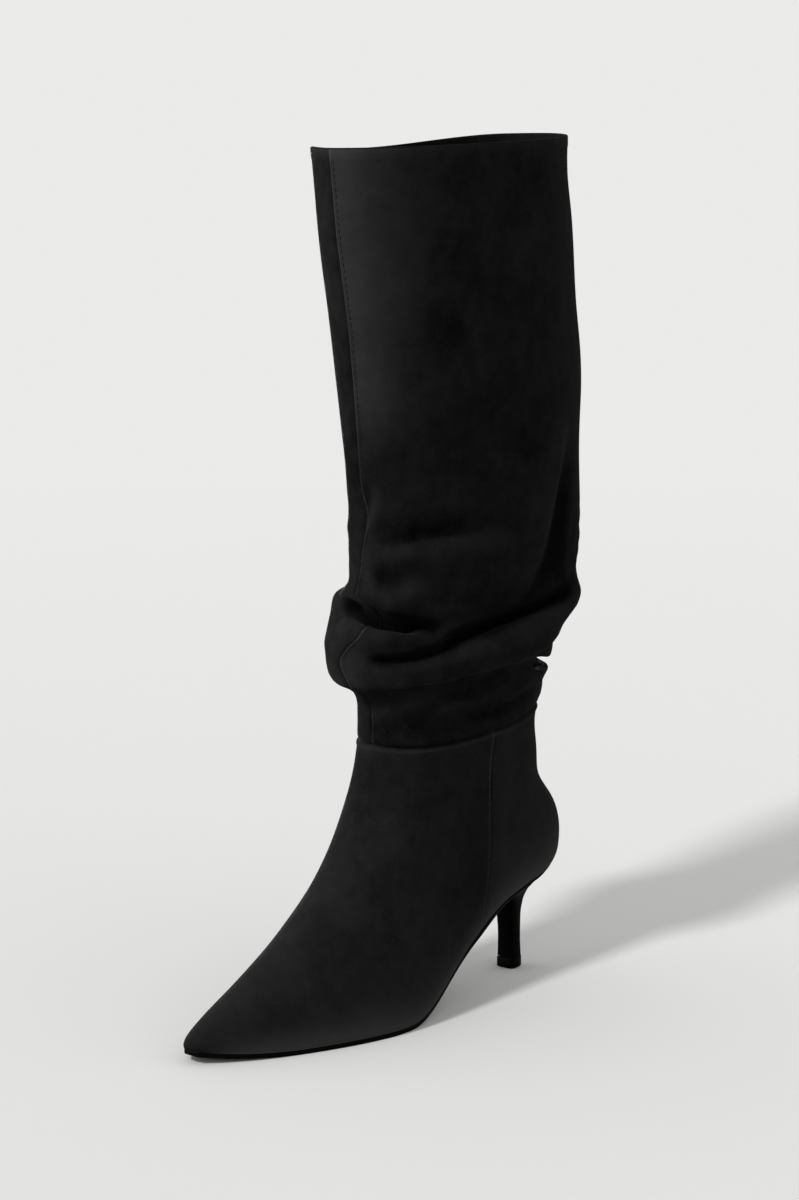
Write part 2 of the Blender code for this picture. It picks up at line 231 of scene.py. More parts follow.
STRAKES = table(
    Strake,
    (0, 22, 14, 6, 88),
    (30, 20, 16, 8, 80),
    (60, 14, 28, 6, 55),
    (90, 12, 34, 0, 34),
    (135, 18, 34, -14, 26),
    (180, 26, 30, -26, 28),
    (225, 16, 34, -14, 26),
    (270, 6, 32, 0, 34),
    (300, 2, 24, 6, 55),
    (330, 3, 13, 5, 82),
    (360, 22, 14, 6, 88),
)


class ShaftSection(NamedTuple):
    """One level section of the leg, without its folds: where its front and back seams are along the foot."""

    height: float
    front: float
    back: float
    half_width: float
    crease: float


SHAFT = table(
    ShaftSection,
    (SEAM_HEIGHT, 131.5, 16.5, 35, 1.02),
    (152, 131.5, 16, 35.5, 1.02),
    (166, 132, 12.5, 37, 1.02),
    (182, 134, 2, 40, 1.04),
    (200, 137, -12, 41.5, 1.06),
    (220, 138, -17, 42, 1.1),
    (250, 138.5, -15, 43.5, 1.12),
    (300, 144, -13, 45, 1.12),
    (350, 151, -5.5, 47.5, 1.12),
    (400, 159.5, -0.5, 48, 1.12),
    (COLLAR_HEIGHT, 163.3, 0.5, 48.4, 1.12),
)


class SeamLift(NamedTuple):
    """How far the ankle seam lies above its even slope, at an angle round the leg."""

    angle: float
    lift: float


ANKLE_SEAM = table(
    SeamLift,
    (0, 0), (42, -1.6), (92, 0), (130, 1.6), (230, 1.6), (268, 0), (318, -1.6), (360, 0),
)


class Fold(NamedTuple):
    """A main fold of the slack leg, as in the part's source: a roll (out above 0) or a trough (out below 0).

    Its crest passes the given height at its middle angle, climbs on one side and sinks on the other, and
    dies away at span degrees from the middle. Fullness 2 is a soft hump, 4 a full roll. The main trough and
    the front pocket are gentler here than in the source, as creases cut their narrow cores.
    """

    name: str
    angle: float
    span: float
    height: float
    climb: float
    out: float
    sag: float
    above: float
    below: float
    fullness: float


FOLDS = table(
    Fold,
    ("main roll", 95, 150, 186, 9, 7, 4, 10, 12, 3),
    ("main trough", 68, 95, 195, 12, -4, 0, 13, 5, 2),
    ("front roll", -22, 75, 184, 2, 13, 3, 17, 18, 4),
    ("front pocket", 10, 46, 204, -4, -5, 0, 7, 5, 2),
    ("upper trough", 45, 45, 243, 6, -3, 0, 9, 4, 2),
    ("upper ridge", 50, 55, 234, 2, 2, 0, 4, 10, 2),
    ("back notch", 140, 60, 168, 0, -3, 0, 4, 3, 2),
    ("back roll", 140, 60, 160, 0, 3, 1, 4, 5, 2),
    ("inner roll", 262, 80, 202, -8, 9, 4, 9, 9, 3),
    ("inner trough", 255, 80, 187, -8, -4, 0, 6, 5, 2),
    ("inner low roll", 245, 70, 173, 6, 7, 3, 8, 8, 3),
)


class SeamPlace(NamedTuple):
    """Where a seam lies: its height along the slack leather, or its share of the way up the foot."""

    height: float
    angle: float


SIDE_SEAM = table(
    SeamPlace,
    (0.0, 75.5), (0.3, 76.5), (0.55, 77.5), (0.8, 79.5), (1.0, 84),
)
FRONT_SEAM = table(
    SeamPlace,
    (SEAM_HEIGHT, -1), (155, 0), (165, -6), (174, -4), (185, -8),
    (192, -3), (197, 4), (203, 8), (213, -12), (226, -5),
    (236, -2), (252, 5), (272, -1), (300, 1), (COLLAR_HEIGHT, 0),
)


EVEN_TAPER = 0.35


class Crease(NamedTuple):
    """A fine ridge (out above 0) or trough (out below 0) along a bowed line over the leg.

    The line goes from start over middle to end, each an angle round the leg and a height above the floor.
    Its half widths are measured square to it: left is the upper side of a line that runs towards the back,
    and the rear side of one that runs down. Taper is the share of its length in which each end dies away,
    and shade is painted shade along it, or painted light where it is above 0.
    """

    name: str
    start: tuple
    middle: tuple
    end: tuple
    out: float
    left: float
    right: float
    taper: float = EVEN_TAPER
    shade: float = 0.0


# The shade column paints shade along a crease, deepest in the pocket slot, and painted light over the rear
# ankle
LEG_CREASES = table(
    Crease,
    ("upper trough", (10, 234.5), (36, 241), (80, 244.5), -2.0, 10, 2.2),
    ("upper ridge crest", (16, 231.5), (46, 236.5), (88, 239), 1.5, 2.4, 7),
    ("dimple", (6, 217), (22, 222), (42, 229), -1.4, 6, 5, EVEN_TAPER, -0.05),
    ("front swelling", (14, 206), (30, 211), (48, 222), 1.4, 6, 5),
    ("pocket slot", (-36, 204), (2, 198), (50, 192.8), -9.0, 3.8, 1.8, 0.14, -0.24),
    ("pocket lip", (-26, 198), (6, 193), (50, 188.8), 3.2, 2.4, 4.5),
    ("front roll top", (-80, 206), (-42, 207), (-8, 207), 3.0, 5, 6),
    ("front roll shoulder", (-100, 197), (-62, 198), (-24, 199), 8.0, 8, 7),
    ("front trough", (6, 180.5), (32, 181), (60, 189.5), -5.2, 2.0, 1.8, 0.2, -0.03),
    ("rear trough", (48, 185.6), (83, 196), (128, 203.5), -6.5, 2.9, 1.8, 0.2, -0.07),
    ("main roll crest", (20, 175), (80, 185), (130, 195), 0.8, 5, 6),
    ("main roll lower lip", (24, 168), (62, 173.5), (108, 178), 0.7, 2.0, 1.4),
    ("under the main roll", (-36, 158.5), (50, 167), (108, 174.5), -2.2, 1.8, 4),
    ("outer ridge", (112, 302), (100.5, 250), (84, 204), 2.2, 3, 13),
    ("behind the outer ridge", (122, 296), (107, 236), (96, 206), -3.5, 8, 4, EVEN_TAPER, -0.05),
    ("front fork arm", (16, 268), (10, 250), (1, 239), 1.4, 4, 2.5),
    ("front fork valley", (8, 270), (5, 256), (2, 246), -0.7, 2.5, 2.5),
    ("inner front hollow", (-16, 290), (-13, 258), (-16, 232), -0.6, 6, 12, EVEN_TAPER, -0.06),
    ("ankle ridge", (40, 150), (66, 156), (100, 164), 1.6, 3, 4),
    ("ankle trough", (60, 146), (90, 150), (124, 158), -1.7, 3, 3.5),
    ("front ankle ridge", (-12, 148), (16, 151), (44, 160), 1.2, 3, 4),
    ("rear waist of the roll", (104, 183), (140, 187), (178, 185), -4.8, 6.5, 5),
    ("rear step", (114, 172.5), (142, 173.8), (178, 173), 5.2, 3.6, 2.2),
    ("rear notch", (110, 166), (142, 167.5), (180, 166.5), -6.0, 2.2, 2.8),
    ("rear ankle", (102, 152), (140, 154), (180, 153), 1.8, 6, 8, EVEN_TAPER, 0.1),
    ("outer leg hollow", (58, 352), (42, 333), (24, 300), -0.8, 10, 10, EVEN_TAPER, -0.06),
    ("lower leg hollow", (64, 300), (55, 275), (50, 255), -0.6, 9, 9),
    ("calf", (140, 425), (138, 350), (140, 262), 1.4, 26, 26, 0.25),
    ("inner drape", (334, 264), (292, 236), (228, 256), -1.8, 7, 4),
    ("inner drape edge", (336, 255), (292, 228), (230, 247), 1.5, 3, 7),
    ("inner diagonal", (312, 218), (262, 224), (205, 240), -1.6, 5, 3),
    ("inner diagonal edge", (310, 212), (262, 217), (206, 233), 1.3, 3, 6),
    ("back wrinkle", (150, 224), (182, 219), (222, 226), -1.8, 5, 4),
    ("back wrinkle edge", (146, 215), (182, 211), (220, 217), 1.3, 4, 5),
)
FOOT_CREASES = table(
    Crease,
    ("tendon hollow", (82, 100), (138, 107), (184, 110), -4.2, 12, 13),
    ("inner tendon hollow", (176, 110), (222, 107), (268, 102), -3.0, 12, 13),
)


class PaintedLightZone(NamedTuple):
    """A zone of the leg with painted light (tone above 0) or painted shade (below 0), full between the middle
    two of its angles and heights.
    """

    name: str
    tone: float
    angles: tuple
    heights: tuple


# Painted light on the outer front where the lights fall, painted shade on the inner front, a painted
# highlight on the front roll and painted shade at the ankle under the roll
LEG_ZONES = table(
    PaintedLightZone,
    ("outer front", 0.25, (-2.5, 0, 8, 60), (278, 326, 500, 510)),
    ("inner front", -0.05, (-80, -40, -6, -1), (222, 236, 500, 510)),
    ("front roll", 0.16, (-2, 0, 3, 9), (165.5, 181, 181, 196.5)),
    ("ankle", -0.035, (-110, -85, 85, 110), (100, 110, 152, 166)),
)
# Painted shade behind the outer ridge
BEHIND_RIDGE = PaintedLightZone("behind the outer ridge", -0.075, (0, 1, 150, 175), (198, 204, 212, 272))
RIDGE_FADE = (1.0, 9.0)


class HeelSection(NamedTuple):
    """One section of the heel between its tip (rise 0) and the seat (rise 1)."""

    rise: float
    front: float
    back: float
    half_width: float


HEEL_TIP_HEIGHT = 5.5
HEEL = table(
    HeelSection,
    (0.0, 28.0, 16.0, 5.4),
    (0.22, 28.0, 16.6, 5.2),
    (0.45, 28.5, 16.6, 5.6),
    (0.62, 30.5, 15.5, 7.2),
    (0.78, 35.5, 12.0, 11.5),
    (0.90, 42.0, 7.8, 17.5),
    (1.0, 47.0, 4.2, 22.5),
)
HEEL_FACE = 0.86
HEEL_FACE_DEPTH = 0.18
TIP_EDGE_ROUND = ((0.0, 0.5), (0.15, 0.2), (0.5, 0.0))
HEEL_TIP = HeelSection(0.0, 28.3, 15.6, 5.6)

tip_low, tip_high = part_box("heel_tip")
BOOT_SHIFT = np.array([tip_low.x - HEEL_TIP.back * MM, (tip_low.y + tip_high.y) / 2.0, 0.0])

# The photograph's camera, and the part of its frame that this picture keeps
CAMERA_ANCHOR = (68.0, 0.0)
CAMERA_AZIMUTH = 129.92
CAMERA_DISTANCE = 1532.1
CAMERA_HEIGHT = 447.7
LOOK_AZIMUTH = 132.34
LOOK_DOWN = 8.31
PHOTO_FOCAL_PX = 2193.4
PHOTO_SIZE_PX = (799, 1200)
FRAME_CENTRE_PX = (450.0, 634.0)
FRAME_ZOOM = 1.4
SENSOR_MM = 36.0

# Light and studio, in metres, degrees and watts
BOOT_MIDDLE = (0.0, 0.0, 0.25)
KEY_FROM = (0.744, 0.062, 0.665)
KEY_ANGLE = 7.0
KEY_STRENGTH = 1.8
FRONT_SOFT_AT = (0.76, -0.52, 0.7)
FRONT_SOFT_POWER = 17.0
REAR_SOFT_AT = (-0.82, -0.74, 0.15)
REAR_SOFT_POWER = 26.0
SOFT_SIZE = 0.5
SKY_STRENGTH = 0.5
STUDIO_GLOW = 0.83
GLOW_FROM = 0.9
GLOW_FULL = 2.2
STUDIO_FLOOR = 18.0
STUDIO_CURVE = 10.0
STUDIO_WALL = 22.5


# Curves shared by the pieces
def ease(t):
    """A smooth step from 0 to 1, level at both ends."""
    t = np.clip(t, 0.0, 1.0)
    return t * t * (3.0 - 2.0 * t)


def rising(value, start, full):
    """0 up to the start, 1 from full on, and smooth between them."""
    return ease((value - start) / (full - start))


def band(value, start, full, last, gone):
    """1 from full to last, fading to 0 at start and gone."""
    return rising(value, start, full) * (1.0 - rising(value, last, gone))


def blend(start, end, share):
    return start + (end - start) * share


def hump(distance, half_width):
    return np.exp(-((distance / half_width) ** 2))


def cubic(t, run, start, start_slope, end, end_slope):
    """A smooth curve with given ends and slopes over a run, at shares t of it."""
    leaving = (start * (1 + 2 * t) + start_slope * run * t) * (1 - t) ** 2
    arriving = (end * (3 - 2 * t) + end_slope * run * (t - 1)) * t**2
    return leaving + arriving


def through(places, values, at):
    """A smooth curve through the values at ascending places, without overshoot."""
    places, values = np.asarray(places, float), np.asarray(values, float)
    gaps = np.diff(places)
    slopes = np.diff(values) / gaps
    tangents = np.zeros(len(places))
    for i in range(1, len(places) - 1):
        if slopes[i - 1] * slopes[i] > 0:
            tangents[i] = 1.0 / (0.5 / slopes[i - 1] + 0.5 / slopes[i])
    tangents[0], tangents[-1] = slopes[0], slopes[-1]
    at = np.clip(np.asarray(at, float), places[0], places[-1])
    i = np.clip(np.searchsorted(places, at, side="right") - 1, 0, len(gaps) - 1)
    t = (at - places[i]) / gaps[i]
    return cubic(t, gaps[i], values[i], tangents[i], values[i + 1], tangents[i + 1])


def table_at(rows, key, name, at):
    """One column of a table, read at any value of its key column."""
    return through([getattr(row, key) for row in rows], [getattr(row, name) for row in rows], at)


def unit(vectors):
    return vectors / np.linalg.norm(vectors, axis=-1, keepdims=True)


def turn_between(angle, middle):
    """Degrees from the middle to an angle, the short way round."""
    return (angle - middle + 180.0) % 360.0 - 180.0


def half_width(side, x):
    """Half width of the sole's outline at x, on one side."""
    x = np.clip(x, 0.0, FOOT_LENGTH)
    heel = HEEL_SEAT_HALF * np.sqrt(np.clip(1.0 - (1.0 - x / HEEL_SEAT_AT) ** 2, 0.0, 1.0))
    to_waist = rising(x, HEEL_SEAT_AT, side.waist_at)
    to_ball = rising(x, side.waist_at, side.ball_at)
    middle = blend(HEEL_SEAT_HALF, side.waist_half, to_waist)
    middle = middle + (side.ball_half - side.waist_half) * to_ball
    along_toe = np.clip((x - side.ball_at) / (FOOT_LENGTH - side.ball_at), 0.0, 1.0)
    toe = side.ball_half * (1.0 - along_toe**TOE_POINT) ** TOE_NOSE
    return np.where(x < HEEL_SEAT_AT, heel, np.where(x < side.ball_at, middle, toe))


def inset_half(side, x, inset):
    """Half width at x of the outline moved inwards, measured square to the outline's own edge."""
    slope = half_width(side, x + 0.5) - half_width(side, x - 0.5)
    return np.maximum(half_width(side, x) - inset * np.sqrt(1.0 + np.minimum(slope**2, 4.0)), 0.35)


def axis_shift(x):
    """Sideways bend of the foot's middle line, towards the big toe."""
    return TOE_SHIFT * rising(x, 0.6 * TREAD_BACK, FOOT_LENGTH)


def edge_height(x):
    """Height of the upper's lower edge: heel seat, arch, flat tread and toe spring."""
    slope = -HEEL_SEAT_DROP / HEEL_BREAST_AT
    seat = HEEL_HEIGHT + slope * x
    run = TREAD_BACK - HEEL_BREAST_AT
    t = np.clip((x - HEEL_BREAST_AT) / run, 0.0, 1.0)
    arch = cubic(t, run, HEEL_HEIGHT - HEEL_SEAT_DROP, slope, SOLE_THICKNESS, 0.0)
    spring = np.clip((x - TREAD_FRONT) / (FOOT_LENGTH - TREAD_FRONT), 0.0, 1.0)
    forefoot = SOLE_THICKNESS + TOE_SPRING * spring**2
    return np.where(x < HEEL_BREAST_AT, seat, np.where(x < TREAD_BACK, arch, forefoot))


def edge_curve(angle):
    """The sole's edge at angles round the leg."""
    turn = np.radians(angle)
    x = FOOT_LENGTH * ((1.0 + np.cos(turn)) / 2.0) ** EDGE_FAN
    half = np.where(np.sin(turn) >= 0, half_width(OUTER_SIDE, x), -half_width(INNER_SIDE, x))
    return np.stack([x, half + axis_shift(x), edge_height(x)], axis=-1)


def section_curve(front, back, half, crease, angle, height):
    """Level sections of the leg; the crease sharpens them at the front and back seams."""
    turn = np.radians(angle)
    across = np.sign(np.sin(turn)) * np.abs(np.sin(turn)) ** crease
    x = (front + back) / 2.0 + (front - back) / 2.0 * np.cos(turn)
    return np.stack([x, half * across, height + np.zeros_like(x)], axis=-1)


def seam_lift(angle):
    return table_at(ANKLE_SEAM, "angle", "lift", angle % 360.0)


def seam_curve(angle):
    """The ankle seam, where the leg is sewn to the foot; it rises towards the back."""
    height = SEAM_HEIGHT - SEAM_RISE * np.cos(np.radians(angle)) + seam_lift(angle)
    return section_curve(*SHAFT[0][1:], angle, height)


def level_square(along):
    """Level unit vectors square to directions that go round the leg, pointing out."""
    return unit(np.stack([along[..., 1], -along[..., 0], np.zeros_like(along[..., 0])], axis=-1))


def level_outward(curve, angle, step):
    """Level unit vectors square to a curve that goes round the leg."""
    return level_square(curve(angle + step) - curve(angle - step))


def foot_skin(angle, rise):
    """The foot's outside, at angles and at rises from 0 at the sole's edge to 1 at the ankle seam."""
    lean_low, reach_low, lean_high, reach_high = (
        table_at(STRAKES, "angle", name, angle % 360.0)[..., None] for name in Strake._fields[1:]
    )
    edge, seam = edge_curve(angle), seam_curve(angle)
    turn = np.radians(angle)
    radial = np.stack([np.cos(turn), np.sin(turn), np.zeros_like(turn)], axis=-1)

    def handle(lean, reach, outward, upward):
        lean = np.radians(lean)
        return reach * (np.sin(lean) * outward + np.cos(lean) * upward)

    low = edge + handle(lean_low, reach_low, level_outward(edge_curve, angle, 0.5), UP)
    high = seam + handle(lean_high, reach_high, radial, -UP)
    t = rise[..., None]
    s = 1.0 - t
    return s**3 * edge + 3 * s * s * t * low + 3 * s * t * t * high + t**3 * seam


def fade_round(angle, middle, span):
    """1 at the middle angle, dying away smoothly to 0 at span degrees from it."""
    return np.cos(np.minimum(np.abs(turn_between(angle, middle)) / span, 1.0) * math.pi / 2) ** 2


def fold_shift(angle, height):
    """How far the main folds push the leg outwards and downwards at angles and heights."""
    out, down = np.zeros_like(angle), np.zeros_like(angle)
    for fold in FOLDS:
        turn = turn_between(angle, fold.angle)
        rise = height - fold.height - fold.climb * np.sin(np.radians(turn))
        spread = np.where(rise > 0, fold.above, fold.below)
        strength = fade_round(angle, fold.angle, fold.span)
        strength = strength * np.exp(-(np.abs(rise / spread) ** fold.fullness))
        out += fold.out * strength
        down += fold.sag * strength
    return out, down


def leg_skin(angle, height):
    """The leg's outside with its main folds, at angles and at heights along the slack leather."""
    sizes = [table_at(SHAFT, "height", name, height) for name in ShaftSection._fields[1:]]

    def at(a):
        return section_curve(*sizes, a, height)

    out, down = fold_shift(angle, height)
    above_seam = height - SEAM_HEIGHT
    settle = ease(above_seam / FOLDS_SETTLE)
    along_leg = rising(height, SEAM_HEIGHT, COLLAR_HEIGHT)
    rise = blend(SEAM_RISE, COLLAR_RISE, along_leg)
    skin = at(angle) + (settle * out)[..., None] * level_outward(at, angle, 1.0)
    skin[..., 2] -= settle * down + rise * np.cos(np.radians(angle))
    skin[..., 2] += seam_lift(angle) * (1.0 - ease(above_seam / SEAM_LIFT_FADE))
    skin[..., 2] -= COLLAR_INNER_DIP * along_leg**3 * fade_round(angle, 270.0, COLLAR_DIP_SPAN)
    return skin


# Fine relief on the two skins
def normals_of(grid):
    """Outward unit normals of a grid of points, rows going up and columns going round."""
    along = np.roll(grid, -1, axis=1) - np.roll(grid, 1, axis=1)
    return unit(np.cross(along, np.gradient(grid, axis=0)))


def length_up(grid):
    """Distance up each column of a grid from its first row."""
    steps = np.linalg.norm(np.diff(grid, axis=0), axis=-1)
    return np.concatenate([np.zeros((1, grid.shape[1])), np.cumsum(steps, axis=0)])


def distance_round(grid, angles, seam):
    """Signed distance along each row from the column at the seam's angle."""
    along = np.linalg.norm(np.roll(grid, -1, axis=1) - np.roll(grid, 1, axis=1), axis=-1)
    turns = np.abs(turn_between(np.roll(angles, -1), np.roll(angles, 1)))
    return turn_between(angles, seam)[None, :] * along / turns[None, :]


def crease_share(crease, angle, height):
    """The share of one crease's full relief, at points given by angle and height above the floor."""
    scale = np.array([LEG_DEGREE, 1.0])
    start, middle, end = (np.array(p) * scale for p in (crease.start, crease.middle, crease.end))
    bend = 2.0 * middle - (start + end) / 2.0
    t = np.linspace(0.0, 1.0, CREASE_STEPS + 1)[:, None]
    line = (1 - t) ** 2 * start + 2 * t * (1 - t) * bend + t * t * end
    turn = turn_between(angle, crease.middle[0]) + crease.middle[0]
    spot = np.stack([turn, height], axis=-1) * scale
    reach = 3.0 * max(crease.left, crease.right)
    near = np.all((spot > line.min(axis=0) - reach) & (spot < line.max(axis=0) + reach), axis=-1)
    spot = spot[near]
    runs, away = np.diff(line, axis=0), spot[:, None] - line[:-1]
    along = np.clip(np.sum(away * runs, axis=-1) / np.sum(runs * runs, axis=-1), 0.0, 1.0)
    gaps = np.linalg.norm(away - along[..., None] * runs, axis=-1)
    step = np.argmin(gaps, axis=1)
    closest = (np.arange(len(spot)), step)
    part = (step + along[closest]) / CREASE_STEPS
    side = (runs[:, 0] * away[..., 1] - runs[:, 1] * away[..., 0])[closest]
    fade = ease(np.minimum(part, 1.0 - part) / crease.taper)
    share = np.zeros(angle.shape)
    share[near] = fade * hump(gaps[closest], np.where(side > 0, crease.left, crease.right))
    return share


def ripple(points, seed, wavelength, height, waves=14):
    """Smooth irregular relief, from sine waves in seeded directions."""
    draw = np.random.default_rng(seed)
    total = np.zeros(points.shape[:-1])
    for _ in range(waves):
        direction = unit(draw.normal(size=3))
        length = wavelength * draw.uniform(0.7, 1.5)
        total += np.sin(points @ direction * (2 * math.pi / length) + draw.uniform(0, 2 * math.pi))
    return height * total / math.sqrt(waves / 2) / 2


def leg_form(angles, heights):
    """The leg's outside with its folds and creases, and their shade; columns at the front follow the seam."""
    angle, height = np.meshgrid(angles, heights)
    wander = table_at(FRONT_SEAM, "height", "angle", height)
    angle = angle + fade_round(angle, 0.0, SEAM_FREE) * wander
    skin = leg_skin(angle, height)
    relief, shade = np.zeros_like(angle), np.zeros_like(angle)
    for crease in LEG_CREASES:
        share = crease_share(crease, angle, skin[..., 2])
        relief += crease.out * share
        shade += crease.shade * np.sqrt(share)
    above_seam = height - SEAM_HEIGHT
    free = ease(above_seam / FOLDS_SETTLE) * ease((COLLAR_HEIGHT - height) / COLLAR_STIFF)
    relief += free * ripple(skin, *LEG_RIPPLE)
    relief += band(height, *SLACK_HEIGHTS) * ripple(skin, *SLACK_RIPPLE)
    relief *= ease(above_seam / SEAM_FLAT)
    return skin + normals_of(skin) * relief[..., None], shade


def foot_form(angles, rises):
    """The foot's outside with its hollows and turned-in lower edge; columns at the sides follow the seams."""
    angle, rise = np.meshgrid(angles, rises)
    wander = table_at(SIDE_SEAM, "height", "angle", rise) - SIDE_SEAM_ANGLE
    outer = fade_round(angle, SIDE_SEAM_ANGLE, SEAM_FREE)
    inner = fade_round(angle, -SIDE_SEAM_ANGLE, SEAM_FREE)
    angle = angle + (outer - inner) * wander
    skin = foot_skin(angle, rise)
    relief = sum(crease.out * crease_share(crease, angle, skin[..., 2]) for crease in FOOT_CREASES)
    to_heel = rising(np.abs(turn_between(angle, 0.0)), *HEEL_FEATHER)
    tuck = blend(FEATHER_TUCK, FEATHER_TUCK_AT_HEEL, to_heel)
    relief -= tuck * np.clip(1.0 - length_up(skin) / FEATHER_REACH, 0.0, 1.0) ** 2
    return skin + normals_of(skin) * relief[..., None]


def skirt_of(form, angles):
    """Rows that carry the foot's lower edge down over the sole's side and curl it in, lowest first."""
    edge = form[0]
    turn = np.abs(turn_between(angles, 0.0))
    at_toe = 1.0 - rising(turn, *TOE_SKIRT)
    at_heel = rising(turn, *HEEL_SKIRT)
    drop = blend(SKIRT_DROP, SKIRT_DROP_AT_TOE, at_toe)
    curl = blend(blend(SKIRT_CURL, SKIRT_CURL_AT_TOE, at_toe), SKIRT_CURL_AT_HEEL, at_heel)
    outward = level_square(np.roll(edge, -1, axis=0) - np.roll(edge, 1, axis=0))
    shares = np.linspace(1.0, 0.0, SKIRT_ROWS, endpoint=False)
    return np.stack([edge - s * drop[:, None] * UP - s * s * curl[:, None] * outward for s in shares])


def pucker(up):
    """The wave that the thread of a seam puts into it, from -1 to 1."""
    return np.sin(up * (2 * math.pi / (1.4 * STITCH_PITCH)))


def seam_relief(across, up):
    """A seam with one edge laid over the other: a bead puckered by its thread, and a step down behind it."""
    step = SEAM_STEP * hump(across - 2.3 * SEAM_HALF, 1.3 * SEAM_HALF)
    return (SEAM_BEAD + SEAM_PUCKER * pucker(up)) * hump(across, SEAM_HALF) - step


def seam_highlight_and_shade(across, up):
    """A painted highlight on the bead of a seam, in spots along its pucker, and painted shade on the step
    behind it.
    """
    shade = TONE_SEAM_SHADE * hump(across - 2.6 * SEAM_HALF, 1.6 * SEAM_HALF)
    return SEAM_PAINTED_HIGHLIGHT * (0.75 + 0.25 * pucker(up)) * hump(across, 1.1 * SEAM_HALF) - shade


def crest_of(grid):
    """How far each point stands out of its surroundings, from -1 in creases to 1 on ridges."""
    rows = np.arange(len(grid))

    def spread(values):
        for step in (1, 2, 3):
            above, below = values[np.minimum(rows + step, rows[-1])], values[np.maximum(rows - step, 0)]
            values = (2 * values + above + below) / 4
            values = (2 * values + np.roll(values, step, axis=1) + np.roll(values, -step, axis=1)) / 4
        return values

    proud = np.sum((grid - spread(grid)) * normals_of(grid), axis=-1)
    return np.clip((spread(proud) - np.median(proud)) / CREST_FULL, -1.0, 1.0)


# Painted highlight on ridges and painted shade in hollows, by how far each point stands out
def ridge_light_hollow_shade(crest):
    return np.where(crest > 0, RIDGE_PAINTED_LIGHT * crest, -HOLLOW_PAINTED_SHADE * crest)


# Meshes
def add_object(name, points, faces, finishes):
    """A smooth-shaded mesh in the scene, from points in metres."""
    mesh = bpy.data.meshes.new(name)
    mesh.from_pydata(points, [], faces)
    for finish in finishes:
        mesh.materials.append(finish)
    mesh.shade_smooth()
    made = bpy.data.objects.new(name, mesh)
    bpy.context.scene.collection.objects.link(made)
    return made


def add_piece(name, points, faces, finishes):
    """A piece of the boot, from points in the boot's frame."""
    placed = np.asarray(points, float).reshape(-1, 3) * MM + BOOT_SHIFT
    return add_object(name, placed.tolist(), faces, finishes)


def ring_faces(rows, columns, closed):
    """Quads of a grid whose columns go round, and whose last row meets its first if it is closed."""
    r, c = np.meshgrid(np.arange(rows if closed else rows - 1), np.arange(columns), indexing="ij")
    r, c = r.ravel(), c.ravel()
    above, beside = (r + 1) % rows, (c + 1) % columns
    corners = [r * columns + c, r * columns + beside, above * columns + beside, above * columns + c]
    return np.stack(corners, axis=-1).tolist(), r


def add_wall(name, outside, inside, finishes, skin_rows, tone):
    """A hollow tube with rounded ends: up its outside, over the rim, down its inside and back.

    The inside has the second finish but for the skin_rows under the rim, and tone is the outside's painted
    light and shade.
    """

    def rim(start, end, bulge):
        middle, half = (start + end) / 2, (start - end) / 2
        turns = np.linspace(0, math.pi, RIM_ROWS + 2)[1:-1]
        return np.stack([middle + math.cos(a) * half + math.sin(a) * bulge for a in turns])

    thick = np.linalg.norm(outside[-1] - inside[-1], axis=-1, keepdims=True) / 2
    top = rim(outside[-1], inside[-1], UP * thick)
    bottom = rim(inside[0], outside[0], np.zeros(3))
    grid = np.concatenate([outside, top, inside[::-1], bottom])
    rows, columns = grid.shape[:2]
    faces, row_of = ring_faces(rows, columns, closed=True)
    lining_from = len(outside) + RIM_ROWS + skin_rows
    lining_to = len(outside) + RIM_ROWS + len(inside)
    is_lining = (row_of >= lining_from) & (row_of < lining_to)
    piece = add_piece(name, grid, faces, finishes)
    piece.data.polygons.foreach_set("material_index", is_lining.astype(np.int32))
    mark = piece.data.attributes.new("tone", "FLOAT", "POINT")
    values = np.zeros((rows, columns), np.float32)
    values[: len(outside)] = tone
    mark.data.foreach_set("value", values.ravel())
    return piece


def loft_faces(rings, sides):
    """Faces of a solid through rings of points, with one flat face at each end."""
    quads, _ = ring_faces(rings, sides, closed=False)
    last = (rings - 1) * sides
    return quads + [list(range(sides))[::-1], [last + i for i in range(sides)]]


def add_loft(name, rings, finishes):
    rings = np.asarray(rings, float)
    piece = add_piece(name, rings, loft_faces(*rings.shape[:2]), finishes)
    piece.data.set_sharp_from_angle(angle=math.radians(SHARP_ANGLE))
    return piece


def rounded(ring, rounds=3):
    """A closed ring with its corners cut again and again until they are round."""
    ring = np.asarray(ring, float)
    for _ in range(rounds):
        ahead = np.roll(ring, -1, axis=0)
        ring = np.stack([0.75 * ring + 0.25 * ahead, 0.25 * ring + 0.75 * ahead], axis=1).reshape(-1, 3)
    return ring


